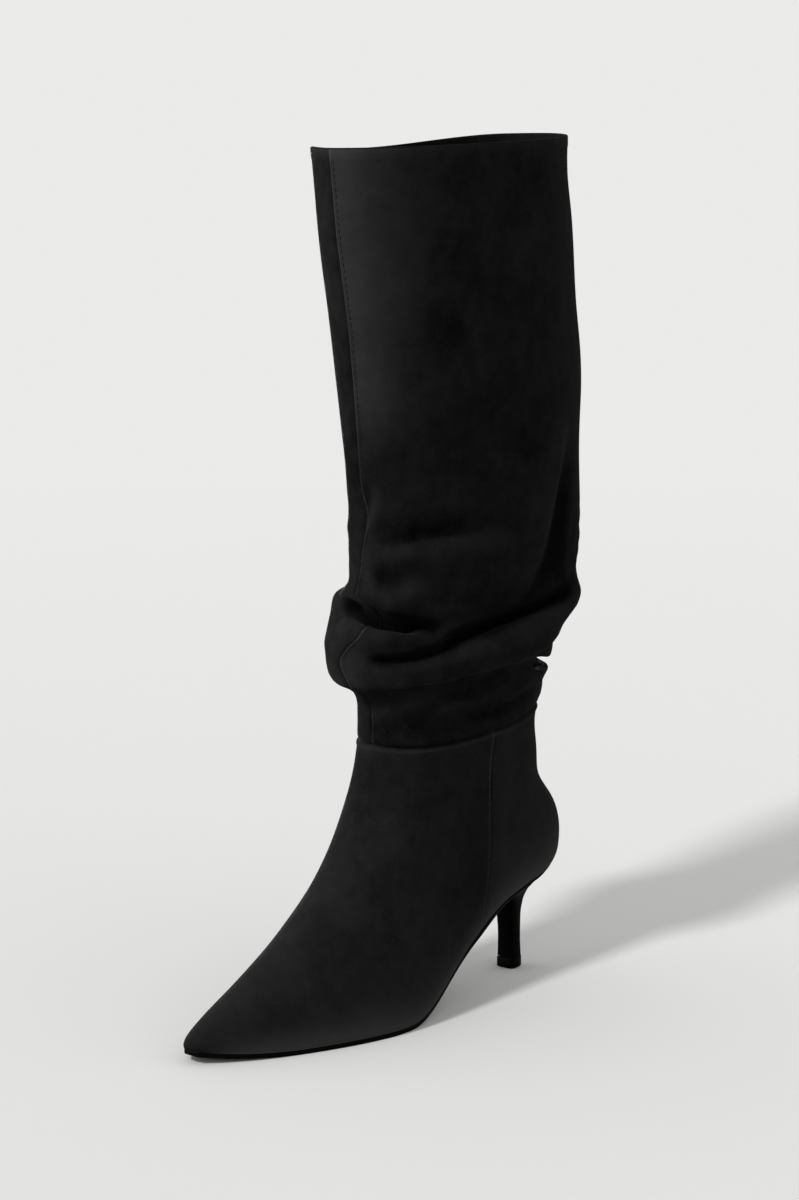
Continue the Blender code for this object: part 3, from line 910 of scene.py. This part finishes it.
# Materials
class Finish:
    """A material in the making: its shader, with plain values on its own sockets, and the nodes behind it."""

    def __init__(self, name, **sockets):
        self.material = bpy.data.materials.new(name)
        self.material.use_nodes = True
        self.tree = self.material.node_tree
        self.shader = self.tree.nodes["Principled BSDF"]
        for socket, value in sockets.items():
            self.shader.inputs[socket.replace("_", " ")].default_value = value
        self.place = self.node("ShaderNodeTexCoord", "Object")

    def node(self, kind, output, inputs=None, **settings):
        """An output of a new node; each input is a plain value or another node's output."""
        made = self.tree.nodes.new(kind)
        for name, value in settings.items():
            setattr(made, name, value)
        for name, value in (inputs or {}).items():
            if isinstance(value, bpy.types.NodeSocket):
                self.tree.links.new(value, made.inputs[name])
            else:
                made.inputs[name].default_value = value
        return made.outputs[output]

    def feed(self, **sockets):
        """Link nodes' outputs to the shader's sockets."""
        for socket, output in sockets.items():
            self.tree.links.new(output, self.shader.inputs[socket.replace("_", " ")])

    def texture(self, kind, output, size_mm, **inputs):
        """A texture whose lumps are about size_mm across."""
        inputs = {"Vector": self.place, "Scale": 1.0 / (size_mm * MM), **inputs}
        return self.node(kind, output, inputs)

    def noise(self, size_mm, detail=3.0, **inputs):
        return self.texture("ShaderNodeTexNoise", "Fac", size_mm, Detail=detail, Roughness=0.55, **inputs)

    def mapped(self, value, low, high, to_low, to_high):
        inputs = {"Value": value, "From Min": low, "From Max": high, "To Min": to_low, "To Max": to_high}
        return self.node("ShaderNodeMapRange", "Result", inputs)

    def graded(self, cloud, low, high):
        """A value from low to high, over the range that noise mostly has."""
        return self.mapped(cloud, 0.3, 0.7, low, high)

    def combined(self, first, second, operation="ADD"):
        return self.node("ShaderNodeMath", "Value", {0: first, 1: second}, operation=operation)

    def tinted(self, factor, dark, light):
        """A colour between dark and light."""
        return self.node("ShaderNodeMix", 2, {"Factor": factor, 6: dark, 7: light}, data_type="RGBA")

    def bump(self, height, strength, depth_mm):
        inputs = {"Height": height, "Strength": strength, "Distance": depth_mm * MM}
        self.feed(Normal=self.node("ShaderNodeBump", "Normal", inputs))


def grey(value):
    return (value, value, value, 1.0)


def suede_material():
    """Black suede: a matte nap with brushed patches, over the painted light and shade of its tone attribute,
    lighter on ridges.
    """
    suede = Finish("black_suede", Sheen_Weight=0.012, Sheen_Roughness=0.5, Specular_IOR_Level=0.004)
    stretch = {"Vector": suede.place, "Scale": (1.0, 1.0, 0.85)}
    brushed = suede.node("ShaderNodeMapping", "Vector", stretch)
    patches = suede.noise(24.0, detail=2.0, Vector=brushed)
    strokes = suede.noise(6.0, detail=4.0, Vector=brushed)
    clumps = suede.noise(1.1)
    fibres = suede.noise(0.3, detail=2.0)
    tone = suede.node("ShaderNodeAttribute", "Fac", attribute_name="tone")
    for cloud, least, most in ((patches, 0.04, 0.125), (strokes, 0.0, 0.05), (clumps, 0.0, 0.05)):
        tone = suede.combined(tone, suede.graded(cloud, least, most))
    colour = suede.tinted(tone, grey(0.0008), (0.0303, 0.03, 0.0297, 1.0))
    suede.feed(Base_Color=colour, Roughness=suede.graded(clumps, 0.85, 1.0))
    nap = suede.combined(suede.combined(clumps, 0.6, "MULTIPLY"), suede.combined(fibres, 0.4, "MULTIPLY"))
    suede.bump(nap, strength=0.5, depth_mm=0.35)
    return suede.material


def heel_material():
    """The heel's smooth satin cover."""
    cover = Finish("heel_cover", Specular_IOR_Level=0.01, Coat_Weight=0.003, Coat_Roughness=0.4)
    cloud = cover.noise(9.0)
    colour = cover.tinted(cloud, grey(0.0005), grey(0.0013))
    cover.feed(Base_Color=colour, Roughness=cover.graded(cloud, 0.5, 0.65))
    cover.bump(cover.noise(0.5, detail=2.0), strength=0.15, depth_mm=0.1)
    return cover.material


def sole_material():
    """Thin black sole and top piece: dense, slightly grained and nearly matte."""
    sole = Finish("black_sole", Specular_IOR_Level=0.02)
    colour = sole.tinted(sole.noise(14.0), grey(0.0006), grey(0.002))
    grain = sole.noise(0.6)
    sole.feed(Base_Color=colour, Roughness=sole.graded(grain, 0.45, 0.65))
    sole.bump(grain, strength=0.3, depth_mm=0.15)
    return sole.material


def lining_material():
    """Plain dark lining with a fine leather grain."""
    lining = Finish("dark_lining", Specular_IOR_Level=0.06)
    cloud = lining.noise(20.0)
    colour = lining.tinted(cloud, (0.008, 0.0074, 0.0068, 1.0), (0.015, 0.014, 0.013, 1.0))
    lining.feed(Base_Color=colour, Roughness=lining.graded(cloud, 0.5, 0.65))
    grain = lining.texture("ShaderNodeTexVoronoi", "Distance", 0.9)
    lining.bump(grain, strength=0.25, depth_mm=0.12)
    return lining.material


def thread_material():
    """Black sewing thread, with the twist of its strands."""
    thread = Finish("black_thread", Specular_IOR_Level=0.05, Roughness=0.6)
    twist = thread.texture("ShaderNodeTexWave", "Fac", 0.9)
    thread.feed(Base_Color=thread.tinted(twist, grey(0.002), grey(0.005)))
    thread.bump(twist, strength=0.3, depth_mm=0.08)
    return thread.material


def studio_material():
    """Pale paper that takes the boot's shadow near it and glows evenly further away."""
    warm_white = (1.0, 0.995, 0.985, 1.0)
    studio = Finish("pale_studio", Roughness=0.9, Specular_IOR_Level=0.0, Emission_Color=warm_white)
    away = studio.node("ShaderNodeVectorMath", "Value", {0: studio.place}, operation="LENGTH")
    far = studio.mapped(away, GLOW_FROM, GLOW_FULL, 0.0, 1.0)
    paper = studio.tinted(studio.noise(400.0), (0.79, 0.79, 0.783, 1.0), (0.81, 0.809, 0.802, 1.0))
    glow = studio.mapped(far, 0.0, 1.0, 0.0, STUDIO_GLOW)
    studio.feed(Base_Color=studio.tinted(far, paper, grey(0.0)), Emission_Strength=glow)
    return studio.material


# Pieces
def columns_with_seams(count, seams):
    """Evenly spaced angles, with close ones at each seam to carry its relief."""
    close = (0.35, 0.7, 1.05, 1.4, 1.8, 2.3, 2.9)
    even = np.arange(count) * (360.0 / count)
    clear = [a for a in even if all(abs(turn_between(a, s)) > close[-1] + 0.4 for s in seams)]
    near = [(s + sign * c) % 360.0 for s in seams for sign in (-1, 1) for c in close]
    return np.array(sorted(clear + near + [s % 360.0 for s in seams]))


def stepped(counts, places):
    """Values from the first place to the last, with a count of even steps between each two places."""
    ends = np.cumsum([0, *counts])
    return np.interp(np.arange(ends[-1] + 1), ends, places)


def foot_tone(angles, up, down):
    """The foot's painted light and shade: painted bounce light along the sole, a lighter quarter behind the
    side seams, a painted highlight on the lip, and painted shade on the instep and in a line at the heel.
    """
    turn = np.abs(turn_between(angles, 0.0))
    wider = rising(turn, *EDGE_LIGHT_WIDER) + rising(turn, *EDGE_LIGHT_WIDEST)
    along_sole = rising(turn, *EDGE_LIGHT) * np.exp(-up / (EDGE_LIGHT_REACH + EDGE_LIGHT_GAIN * wider))
    on_instep = (1.0 - rising(turn, *PAST_INSTEP)) * (1.0 - ease(down / INSTEP_LENGTH))
    on_quarter = rising(turn, SIDE_SEAM_ANGLE, SIDE_SEAM_ANGLE + 3.0)
    heel_line = rising(turn, *HEEL_LINE) * (1.0 - rising(up, *ABOVE_HEEL_LINE))
    tone = FOOT_PAINTED_BOUNCE + SOLE_EDGE_PAINTED_BOUNCE * along_sole + INSTEP_PAINTED_SHADE * on_instep
    tone += TONE_QUARTER * on_quarter + HEEL_PAINTED_SHADOW_LINE * heel_line
    return tone + LIP_PAINTED_HIGHLIGHT * hump(down - LIP_AT, 1.0) + GROOVE_PAINTED_SHADE * hump(down, GROOVE_REACH)


def build_foot(suede, lining):
    seams = (SIDE_SEAM_ANGLE, 360.0 - SIDE_SEAM_ANGLE)
    angles = columns_with_seams(FOOT_COLUMNS, seams)
    from_back = np.abs(angles - 180.0)
    angles = angles[(from_back < 0.1) | (from_back > CROWDED_AT_HEEL)]
    close = 0.04
    rises = stepped((EDGE_ROWS, FOOT_ROWS, EDGE_ROWS - 1), (0.0, close, 1.0 - close, 1.0))
    form = foot_form(angles, rises)
    skin = np.concatenate([skirt_of(form, angles), form])
    up = length_up(skin)
    down = up[-1] - up
    relief = ripple(skin, *FOOT_RIPPLE) * ease(up / 15.0) * ease(down / 15.0)
    tone = foot_tone(angles, up, down)
    for seam, rear in zip(seams, (1.0, -1.0)):
        across = rear * distance_round(skin, angles, seam)
        relief += seam_relief(across, up) * ease(down / 4.0) * ease(up / 3.0)
        # Painted highlight and shade along the side seams
        tone += seam_highlight_and_shade(across, up)
    relief += LIP_HEIGHT * hump(down - LIP_AT, 1.1) - GROOVE_DEPTH * hump(down, GROOVE_REACH)
    outside = skin + normals_of(skin) * relief[..., None]
    inner_form = foot_form(angles, np.linspace(0.0, 1.0, LINING_FOOT_ROWS))
    inside = inner_form - UPPER_WALL * normals_of(inner_form)
    # Painted highlight on the foot's ridges and painted shade in its hollows
    tone += ridge_light_hollow_shade(crest_of(outside))
    return add_wall("foot", outside, inside, (suede, lining), FOOT_RIM_ROWS, tone)


def row_heights(counts):
    """Heights of the leg's rows of facets, close together where its creases are sharp."""
    return stepped([*counts, HEM_ROWS - 1], [SEAM_HEIGHT, *LEG_TOPS, COLLAR_HEIGHT - SHAFT_WALL / 2])


def leg_painted_light(angles, heights):
    """The leg's painted light and shade in its zones; the one behind the outer ridge begins along that
    crease.
    """
    turn, height = np.meshgrid(turn_between(angles, 0.0), heights)
    ridge = next(crease for crease in LEG_CREASES if crease.name == "outer ridge")
    ridge_angles, ridge_heights = zip(ridge.end, ridge.middle, ridge.start)
    past_ridge = rising(turn - np.interp(height, ridge_heights, ridge_angles), *RIDGE_FADE)

    def within(zone):
        return zone.tone * band(turn, *zone.angles) * band(height, *zone.heights)

    return sum(within(zone) for zone in LEG_ZONES) + past_ridge * within(BEHIND_RIDGE)


def build_leg(suede, lining):
    """The leg, with the line and normals of the stitches beside its front seam."""
    seams = (0.0, 180.0)
    angles = columns_with_seams(LEG_COLUMNS, seams)
    heights = row_heights(LEG_ROWS)
    form, shade = leg_form(angles, heights)
    normals = normals_of(form)
    up = length_up(form)
    down = up[-1] - up
    relief = HEM_STEP * (1.0 - rising(down, HEM_HEIGHT - 1.0, HEM_HEIGHT + 1.0))
    relief -= GROOVE_DEPTH * hump(up, GROOVE_REACH)
    # Painted highlight along the turned-over top edge, brightest at the front where the lights fall
    in_front = fade_round(angles, HEM_LIGHT_AT, HEM_LIGHT_SPAN)
    hem = HEM_PAINTED_HIGHLIGHT * np.exp(-down / HEM_LIGHT_REACH) * blend(HEM_LIGHT_LEAST, 1.0, in_front)
    tone = leg_painted_light(angles, heights) + shade + hem + GROOVE_PAINTED_SHADE * hump(up, GROOVE_REACH)
    crest = crest_of(form)
    # Painted highlight on the leg's ridges and painted shade in its creases
    tone += ridge_light_hollow_shade(crest)
    # The seams' painted highlight fades in creases and where the creases' painted shade is deep
    lit = (1.0 + np.minimum(crest, 0.0)) * np.clip(1.0 + shade / SHADE_THAT_HIDES_SEAM, 0.0, 1.0)
    for seam in seams:
        across = -distance_round(form, angles, seam)
        relief += seam_relief(across, up) * ease(up / 4.0) * rising(down, 2.0, 6.0)
        tone += seam_highlight_and_shade(across, up) * lit
    outside = form + normals * relief[..., None]
    lining_heights = row_heights(LINING_LEG_ROWS)
    inner_form, _ = leg_form(angles, lining_heights)
    inside = inner_form - SHAFT_WALL * normals_of(inner_form)
    turned = int(np.sum(lining_heights > COLLAR_HEIGHT - HEM_TURN_IN))
    leg = add_wall("leg", outside, inside, (suede, lining), turned, tone)
    beside = int(np.argmin(np.abs(distance_round(form, angles, 0.0)[-1] - STITCH_BESIDE)))
    stitched = (heights > STITCH_FROM) & (heights < COLLAR_HEIGHT - HEM_HEIGHT)
    return leg, outside[stitched, beside], normals[stitched, beside]


def build_stitches(line, normals, thread):
    """A row of sunk stitches along a line, as one joined mesh."""
    along = length_up(line[:, None])[:, 0]
    count = int(along[-1] / STITCH_PITCH)
    places = (np.arange(count) + 0.5) * along[-1] / count

    def at(values, where):
        where = np.clip(where, 0.0, along[-1])
        return np.stack([np.interp(where, along, values[:, k]) for k in range(3)], axis=-1)[:, None, None]

    sides, rings, look = 8, 7, 0.6
    turn = np.arange(sides)[:, None] * 2 * math.pi / sides
    lengths = np.linspace(-1.0, 1.0, rings)[:, None, None]
    fat = np.sqrt(np.maximum(1.0 - lengths**4, 0.03))
    forward = unit(at(line, places + look) - at(line, places - look))
    outward = unit(at(normals, places))
    sideways = np.cross(outward, forward)
    girth = np.cos(turn) * STITCH_HALF_WIDTH * sideways + np.sin(turn) * STITCH_HEIGHT * outward
    points = at(line, places) + forward * lengths * STITCH_LENGTH / 2 + fat * girth
    stitch = loft_faces(rings, sides)
    faces = [[n * rings * sides + i for i in face] for n in range(count) for face in stitch]
    return add_piece("seam_stitches", points, faces, [thread])


def sole_rings(start, end, inset, low, high, corner):
    """Sections across the foot, low to high above its edge and inset from it, with rounded lower corners."""
    shared = FOOT_LENGTH * (1.0 - np.cos(np.linspace(0.0, math.pi, SOLE_STATIONS + 1))) / 2.0
    stations = [start] + [x for x in shared if start + 0.1 < x < end - 0.1] + [end]
    quarter = np.linspace(0.0, math.pi / 2, 5)
    rings = []
    for x in stations:
        outer = float(inset_half(OUTER_SIDE, x, inset(x)) + axis_shift(x))
        inner = float(-inset_half(INNER_SIDE, x, inset(x)) + axis_shift(x))
        bottom, top = edge_height(x) + low, edge_height(x) + high
        cut = min(corner, 0.4 * (outer - inner) / 2)
        ring = [(x, y, top) for y in np.linspace(outer, inner, 4)]
        ring += [(x, inner + cut * (1 - math.cos(a)), bottom + corner * (1 - math.sin(a))) for a in quarter]
        ring += [(x, outer - cut * (1 - math.sin(a)), bottom + corner * (1 - math.cos(a))) for a in quarter]
        rings.append(ring)
    return rings


def sole_inset(x):
    """The sole lies further in at the heel."""
    return SOLE_INSET + SOLE_TUCK_AT_HEEL * (1.0 - rising(x, *PAST_HEEL_SEAT))


def build_sole(finish):
    start, end = sole_inset(0.0), FOOT_LENGTH - SOLE_TOE_GAP
    rings = sole_rings(start, end, sole_inset, -SOLE_THICKNESS, -SOLE_GAP, SOLE_EDGE_ROUND)
    return add_loft("sole", rings, [finish])


def build_sock(finish):
    start, end = INSOLE_INSET, FOOT_LENGTH - INSOLE_TOE_GAP
    rings = sole_rings(start, end, lambda x: INSOLE_INSET, 0.0, INSOLE_THICKNESS, FIT_GAP)
    return add_loft("sock", rings, [finish])


def heel_ring(section, height_at, sides=18):
    """A D-shaped ring with rounded corners: a flat front face and a round back."""
    middle = blend(section.front, section.back, HEEL_FACE_DEPTH)
    half, deep = section.half_width, middle - section.back
    turns = np.linspace(0.0, math.pi, sides + 1)
    ring = [(middle - deep * math.sin(turn), half * math.cos(turn), 0.0) for turn in turns]
    ring = rounded(ring + [(section.front, side * HEEL_FACE * half, 0.0) for side in (-1, 1)])
    ring[:, 2] = height_at(ring[:, 0])
    return ring


def build_heel(finish):
    low, sole = HEEL_TIP_HEIGHT + FIT_GAP, SOLE_THICKNESS + FIT_GAP
    rings = []
    for rise in np.linspace(0.0, 1.0, HEEL_RINGS):
        sizes = [float(table_at(HEEL, "rise", name, rise)) for name in HeelSection._fields[1:]]
        section = HeelSection(rise, *sizes)
        rings.append(heel_ring(section, lambda x: blend(low, edge_height(x) - sole, rise)))
    return add_loft("heel_cover", rings, [finish])


def build_top_piece(finish):
    """The heel's wearing piece, with a small round at both edges."""
    upper_edge = [(HEEL_TIP_HEIGHT - height, inset) for height, inset in reversed(TIP_EDGE_ROUND)]
    rings = []
    for height, inset in [*TIP_EDGE_ROUND, *upper_edge]:
        front, back, half = HEEL_TIP.front - inset, HEEL_TIP.back + inset, HEEL_TIP.half_width - inset
        rings.append(heel_ring(HeelSection(0.0, front, back, half), lambda x: np.full_like(x, height)))
    return add_loft("top_piece", rings, [finish])


def build_studio(finish):
    """A round pale floor that curves up into a wall far behind the boot, open at the top."""
    steps, sides = 24, 96
    profile = [(0.02, 0.0), (0.6, 0.0), (1.5, 0.0), (STUDIO_FLOOR, 0.0)]
    for turn in np.linspace(0.0, math.pi / 2, steps + 1)[1:]:
        profile.append((STUDIO_FLOOR + STUDIO_CURVE * math.sin(turn), STUDIO_CURVE * (1 - math.cos(turn))))
    profile.append((STUDIO_FLOOR + STUDIO_CURVE, STUDIO_WALL))
    turns = np.arange(sides) * 2 * math.pi / sides
    points = [(r * math.cos(a), r * math.sin(a), z) for r, z in profile for a in turns]
    faces, _ = ring_faces(len(profile), sides, closed=False)
    faces = [face[::-1] for face in faces] + [list(range(sides))]
    add_object("studio", points, faces, [finish])


# Light and camera
def add_aimed(data, place, away):
    """A light or camera at a place, that faces the opposite way of away."""
    made = bpy.data.objects.new(data.name, data)
    made.location = place
    made.rotation_mode = "QUATERNION"
    made.rotation_quaternion = Vector(away).to_track_quat("Z", "Y")
    bpy.context.scene.collection.objects.link(made)
    return made


def add_light(name, kind, place, away, **settings):
    """A light that the camera does not see."""
    lamp = bpy.data.lights.new(name, kind)
    for setting, value in settings.items():
        setattr(lamp, setting, value)
    light = add_aimed(lamp, place, away)
    light.visible_camera = False
    return light


def add_lights(pieces):
    """A high key from the toe, soft lights on the boot's front and inner back, and even light all round."""
    add_light("key", "SUN", KEY_FROM, KEY_FROM, angle=math.radians(KEY_ANGLE), energy=KEY_STRENGTH)
    front = ("front_soft", FRONT_SOFT_AT, FRONT_SOFT_POWER)
    rear = ("rear_soft", REAR_SOFT_AT, REAR_SOFT_POWER)
    for name, place, power in (front, rear):
        away = Vector(place) - Vector(BOOT_MIDDLE)
        light = add_light(name, "AREA", place, away, size=SOFT_SIZE, energy=power)
        light.light_linking.receiver_collection = pieces
    world = bpy.data.worlds.new("studio_world")
    world.use_nodes = True
    sky = world.node_tree.nodes["Background"]
    sky.inputs["Color"].default_value = (1.0, 1.0, 1.0, 1.0)
    sky.inputs["Strength"].default_value = SKY_STRENGTH
    bpy.context.scene.world = world
    bpy.context.scene.view_settings.view_transform = "Standard"


def add_camera():
    camera = bpy.data.cameras.new("camera")
    place = math.radians(CAMERA_AZIMUTH)
    x = CAMERA_ANCHOR[0] + CAMERA_DISTANCE * math.sin(place)
    y = CAMERA_ANCHOR[1] - CAMERA_DISTANCE * math.cos(place)
    look, down = math.radians(LOOK_AZIMUTH), math.radians(LOOK_DOWN)
    back = (math.sin(look) * math.cos(down), -math.cos(look) * math.cos(down), math.sin(down))
    long_side = max(PHOTO_SIZE_PX)
    camera.sensor_width = SENSOR_MM
    camera.lens = SENSOR_MM * PHOTO_FOCAL_PX * FRAME_ZOOM / long_side
    camera.shift_x = (FRAME_CENTRE_PX[0] - PHOTO_SIZE_PX[0] / 2) * FRAME_ZOOM / long_side
    camera.shift_y = -(FRAME_CENTRE_PX[1] - PHOTO_SIZE_PX[1] / 2) * FRAME_ZOOM / long_side
    stand = np.array([x, y, CAMERA_HEIGHT]) * MM + BOOT_SHIFT
    bpy.context.scene.camera = add_aimed(camera, stand, back)


def dress():
    """Builds every piece of the boot with its finish, puts it on the frame's one body and hides the part's
    node that it stands for.
    """
    suede, lining, sole = suede_material(), lining_material(), sole_material()
    leg, stitch_line, stitch_normals = build_leg(suede, lining)
    stitches = build_stitches(stitch_line, stitch_normals, thread_material())
    dressed = (
        (build_foot(suede, lining), "upper", "suede"),
        (leg, "shaft", "suede"),
        (build_sole(sole), "outsole", "sole"),
        (build_sock(lining), "insole", "lining"),
        (build_heel(heel_material()), "heel", "heel_cover"),
        (build_top_piece(sole), "heel_tip", "sole"),
    )
    for piece, node, slot in dressed:
        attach(piece, BODY)
        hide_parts(node)
    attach(stitches, BODY)
    pieces = bpy.data.collections.new("boot_pieces")
    for piece in [stitches] + [row[0] for row in dressed]:
        pieces.objects.link(piece)
    return pieces


boot_pieces = dress()
build_studio(studio_material())
add_lights(boot_pieces)
add_camera()
